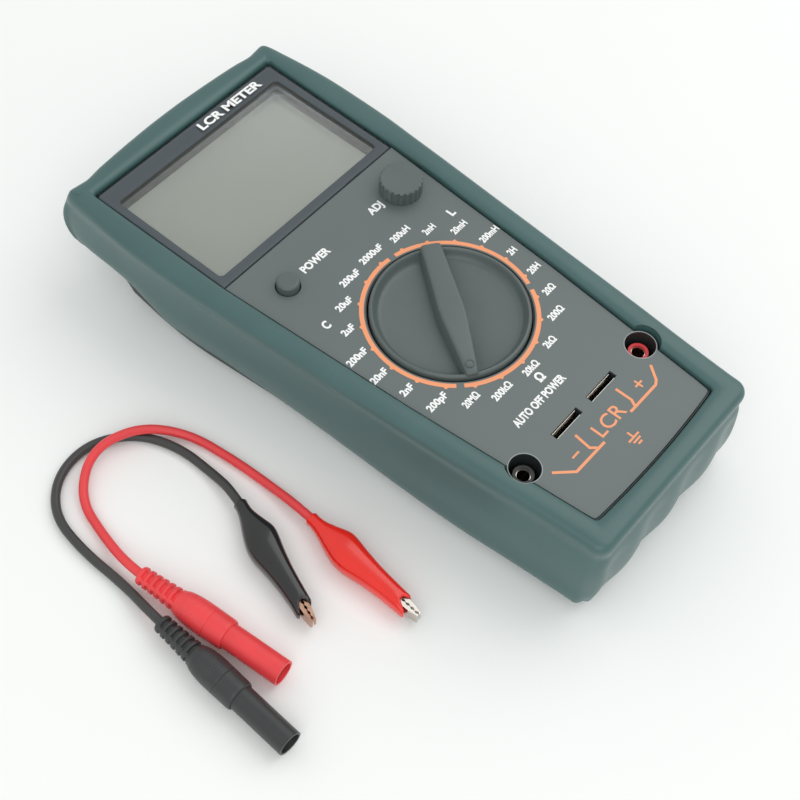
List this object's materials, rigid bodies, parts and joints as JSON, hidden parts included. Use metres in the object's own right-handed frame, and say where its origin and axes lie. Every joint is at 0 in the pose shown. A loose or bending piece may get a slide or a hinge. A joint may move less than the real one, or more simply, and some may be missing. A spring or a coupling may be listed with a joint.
{
  "type": "component tester",
  "caption": "Handheld inductance, capacitance and resistance tester in a rubber holster, with a range dial, a tilt stand, jacks, and clip leads lying beside it.",
  "frame": {"origin": "centre of the meter's bounding box in plan, on the surface that it and its leads lie on", "axes": "+Y from the jacks to the display, +Z out of the printed face, +X to the right as the face is read"},
  "size_m": [0.1804, 0.2096, 0.0436],
  "materials": {
    "holster_rubber": "satin",
    "stand_plastic": "satin",
    "steel": "satin",
    "case_plastic": "matte",
    "panel": "matte",
    "lens": "clear centre with a dark border",
    "inner_plastic": "matte",
    "display_glass": "grey-green",
    "soft_black": "matte",
    "board": "satin",
    "chip": "gloss",
    "trimmer": "gloss",
    "fuse_glass": "clear",
    "contact_brass": "polished",
    "battery_can": "satin",
    "wire": "satin",
    "knob_plastic": "satin",
    "adj_knob_plastic": "satin",
    "button_plastic": "satin",
    "red_plastic": "satin",
    "black_plastic": "satin",
    "red_cable_jacket": "satin",
    "black_cable_jacket": "satin",
    "red_boot": "gloss",
    "black_boot": "gloss",
    "nickel": "polished"
  },
  "bodies": {
    "meter": {"holster": "holster_rubber", "stand_pin": "steel", "rear_case": "case_plastic", "battery_cover": "case_plastic", "front_case": "case_plastic", "faceplate": "panel", "display_lens": "lens", "case_screws": "steel", "hatch_screw": "steel", "lcd_frame": "inner_plastic", "lcd_glass": "display_glass", "zebra_strip": "soft_black", "main_board": "board", "board_screws": "steel", "board_chips": "chip", "trimmers": "trimmer", "fuse": "fuse_glass", "fuse_clips": "contact_brass", "battery": "battery_can", "battery_snap": "inner_plastic", "battery_pad": "soft_black", "battery_wires": "wire", "adj_pot": "inner_plastic", "power_switch": "inner_plastic", "power_spring": "steel", "jack_contacts": "contact_brass", "component_sockets": "inner_plastic", "socket_blades": "contact_brass", "red_jack": "red_plastic", "black_jack": "black_plastic"},
    "range_dial": {"range_knob": "knob_plastic", "range_rotor": "inner_plastic", "detent_balls": "steel", "detent_springs": "steel", "rotor_contacts": "contact_brass"},
    "adj_dial": {"adj_knob": "adj_knob_plastic", "adj_shaft": "inner_plastic"},
    "power_key": {"power_button": "button_plastic", "power_plunger": "inner_plastic"},
    "stand": {"tilt_stand": "stand_plastic"},
    "black_lead": {"black_plug_grip": "black_plastic", "black_plug_shroud": "black_plastic", "black_plug_pin": "nickel", "black_plug_cage": "nickel", "black_cable": "black_cable_jacket", "black_clip_boot": "black_boot", "black_fixed_jaw": "nickel", "black_pivot_pin": "nickel", "black_clip_spring": "steel"},
    "red_lead": {"red_plug_grip": "red_plastic", "red_plug_shroud": "red_plastic", "red_plug_pin": "nickel", "red_plug_cage": "nickel", "red_cable": "red_cable_jacket", "red_clip_boot": "red_boot", "red_fixed_jaw": "nickel", "red_pivot_pin": "nickel", "red_clip_spring": "steel"},
    "black_jaw": {"black_moving_jaw": "nickel"},
    "red_jaw": {"red_moving_jaw": "nickel"}
  },
  "joints": [
    {"name": "range_turn", "type": "hinge", "parent": "meter", "child": "range_dial", "pos_m": [0, -0.017, 0.036], "axis": [0, 0, 1], "continuous": true},
    {"name": "adj_turn", "type": "hinge", "parent": "meter", "child": "adj_dial", "pos_m": [0.0279, 0.0264, 0.04], "axis": [0, 0, 1], "range_deg": [-150, 150]},
    {"name": "power_press", "type": "slide", "parent": "meter", "child": "power_key", "axis": [0, 0, -1], "range_m": [0, 0.0018], "stiffness_N_per_m": 800, "springref_m": -0.0012, "deforming": ["power_spring"]},
    {"name": "stand_swing", "type": "hinge", "parent": "meter", "child": "stand", "pos_m": [0, 0.04, 0.0022], "axis": [1, 0, 0], "range_deg": [0, 65]},
    {"name": "black_lead_lift", "type": "slide", "parent": "meter", "child": "black_lead", "axis": [0, 0, 1], "range_m": [0, 0.06]},
    {"name": "red_lead_lift", "type": "slide", "parent": "black_lead", "child": "red_lead", "axis": [0, 0, 1], "range_m": [0, 0.06]},
    {"name": "black_jaw_open", "type": "hinge", "parent": "black_lead", "child": "black_jaw", "pos_m": [-0.08609, -0.02074, 0.0043], "axis": [0, 0, 1], "range_deg": [0, 20], "stiffness_Nm_per_rad": 0.05, "springref_deg": -20.05, "deforming": ["black_clip_boot", "black_clip_spring"]},
    {"name": "red_jaw_open", "type": "hinge", "parent": "red_lead", "child": "red_jaw", "pos_m": [-0.07046, -0.04163, 0.0043], "axis": [0, 0, 1], "range_deg": [0, 20], "stiffness_Nm_per_rad": 0.05, "springref_deg": -20.05, "deforming": ["red_clip_boot", "red_clip_spring"]}
  ]
}
